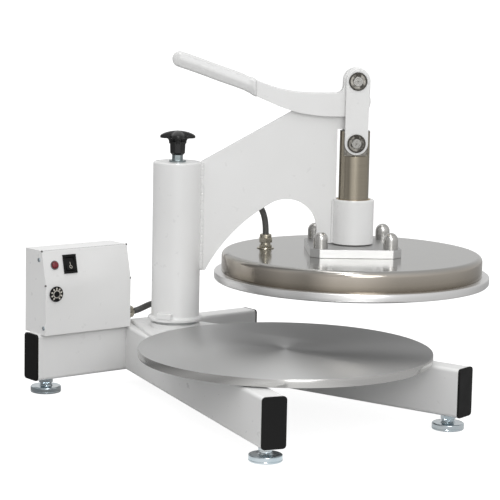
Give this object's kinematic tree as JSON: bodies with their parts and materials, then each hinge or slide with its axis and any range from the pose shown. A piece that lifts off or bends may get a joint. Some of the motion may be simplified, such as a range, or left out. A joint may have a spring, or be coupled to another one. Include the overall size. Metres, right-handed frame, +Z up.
{
  "type": "pizza dough press",
  "caption": "Manual pizza dough press: lever and links drive a ram with a heated round platen on a swing-away arm over a round platter, on a splayed tube base with a control box.",
  "frame": {"origin": "on the bench plane under the centre of the lower platter", "axes": "+X to the operator's right, -Y toward the operator, +Z up; millimetres in the source, metres here"},
  "size_m": [0.6963, 0.6384, 0.5589],
  "materials": {
    "powder_white": "glossy white powder coat",
    "black_plastic": "matt black",
    "zinc_steel": "zinc plated",
    "ram_steel": "ground, nickel plated",
    "platter_metal": "turned in fine rings",
    "cover_steel": "brushed stainless sheet",
    "platen_metal": "machined",
    "nickel_brass": "nickel plated brass",
    "lead_grey": "dark grey sheath",
    "bronze": "plain bearing bronze",
    "grip_white": "dipped vinyl",
    "pin_steel": "plated, slightly dark",
    "red_lens": "moulded red lens",
    "pad_rubber": "hard rubber",
    "heater_steel": "oxidised sheath"
  },
  "bodies": {
    "base": {"rear_bar": "powder_white", "left_leg": "powder_white", "right_leg": "powder_white", "end_caps": "black_plastic", "foot_inserts": "zinc_steel", "lower_platter": "platter_metal", "platter_pads": "pad_rubber", "platter_bolts": "zinc_steel", "post_plate": "powder_white", "swing_post": "ram_steel", "thrust_washer": "zinc_steel", "control_box_chassis": "powder_white", "control_box_cover": "powder_white", "cover_screws": "zinc_steel", "switch_housing": "black_plastic", "pilot_lamp_bezel": "black_plastic", "pilot_lamp_lens": "red_lens", "thermostat": "ram_steel", "box_gland": "nickel_brass", "box_lead": "lead_grey"},
    "rocker": {"switch_rocker": "black_plastic"},
    "dial": {"thermostat_knob": "black_plastic"},
    "foot_fl": {"front_left_foot": "zinc_steel"},
    "foot_fr": {"front_right_foot": "zinc_steel"},
    "foot_rl": {"rear_left_foot": "zinc_steel"},
    "foot_rr": {"rear_right_foot": "zinc_steel"},
    "swing_arm": {"swing_sleeve": "powder_white", "sleeve_cap": "powder_white", "sleeve_bushes": "bronze", "swing_stop": "powder_white", "arm_plate": "powder_white", "ram_collar": "powder_white", "collar_bushes": "bronze", "lead_guide": "powder_white", "arm_lead": "lead_grey", "lead_clip": "powder_white", "knob_nut": "zinc_steel"},
    "knob": {"clamp_knob": "black_plastic", "knob_stud": "zinc_steel"},
    "lever": {"front_lever_plate": "powder_white", "rear_lever_plate": "powder_white", "lever_spacer": "powder_white", "hand_grip": "grip_white", "fulcrum_pin": "pin_steel", "crank_pin": "pin_steel"},
    "links": {"front_link": "powder_white", "rear_link": "powder_white", "crank_pin_ends": "pin_steel", "crank_pin_keepers": "pin_steel"},
    "ram": {"ram": "ram_steel", "ram_pin": "pin_steel", "ram_pin_keepers": "pin_steel", "mount_plate": "platen_metal", "dome_nuts": "cover_steel", "platen_spacers": "zinc_steel", "platen_cover": "cover_steel", "platen": "platen_metal", "heater_element": "heater_steel", "platen_gland": "nickel_brass", "platen_lead": "lead_grey"}
  },
  "joints": [
    {"name": "arm_swing", "type": "hinge", "parent": "base", "child": "swing_arm", "pos_m": [0, 0.292, 0.25], "axis": [0, 0, 1], "range_deg": [-55, 45], "deforming": ["box_lead"]},
    {"name": "lever_turn", "type": "hinge", "parent": "swing_arm", "child": "lever", "pos_m": [0.23919, 0.12452, 0.4835], "axis": [0.5736, 0.8192, 0], "range_deg": [0, 186]},
    {"name": "ram_slide", "type": "slide", "parent": "swing_arm", "child": "ram", "axis": [0, 0, -1], "range_m": [0, 0.06576], "deforming": ["platen_lead"]},
    {"name": "link_turn", "type": "hinge", "parent": "ram", "child": "links", "pos_m": [0.23919, 0.12452, 0.4149], "axis": [0.5736, 0.8192, 0], "range_deg": [-1.95, 0]},
    {"name": "knob_turn", "type": "hinge", "parent": "swing_arm", "child": "knob", "pos_m": [0, 0.292, 0.4], "axis": [0, 0, 1], "continuous": true},
    {"name": "rocker_tilt", "type": "hinge", "parent": "base", "child": "rocker", "pos_m": [-0.168, 0.3552, 0.21305], "axis": [1, 0, 0], "range_deg": [0, 22.6]},
    {"name": "dial_turn", "type": "hinge", "parent": "base", "child": "dial", "pos_m": [-0.1985, 0.3478, 0.1669], "axis": [0, 1, 0], "range_deg": [0, 270]},
    {"name": "foot_fl_turn", "type": "hinge", "parent": "base", "child": "foot_fl", "pos_m": [-0.17936, -0.18034, 0.012], "axis": [0, 0, 1], "continuous": true},
    {"name": "foot_fr_turn", "type": "hinge", "parent": "base", "child": "foot_fr", "pos_m": [0.17936, -0.18034, 0.012], "axis": [0, 0, 1], "continuous": true},
    {"name": "foot_rl_turn", "type": "hinge", "parent": "base", "child": "foot_rl", "pos_m": [-0.1975, 0.3788, 0.012], "axis": [0, 0, 1], "continuous": true},
    {"name": "foot_rr_turn", "type": "hinge", "parent": "base", "child": "foot_rr", "pos_m": [0.1975, 0.3788, 0.012], "axis": [0, 0, 1], "continuous": true}
  ],
  "couplings": [
    {"joint": "ram_slide", "follows": "lever_turn", "m_per_rad": 0.020257},
    {"joint": "link_turn", "follows": "lever_turn", "ratio": -0.01046}
  ]
}
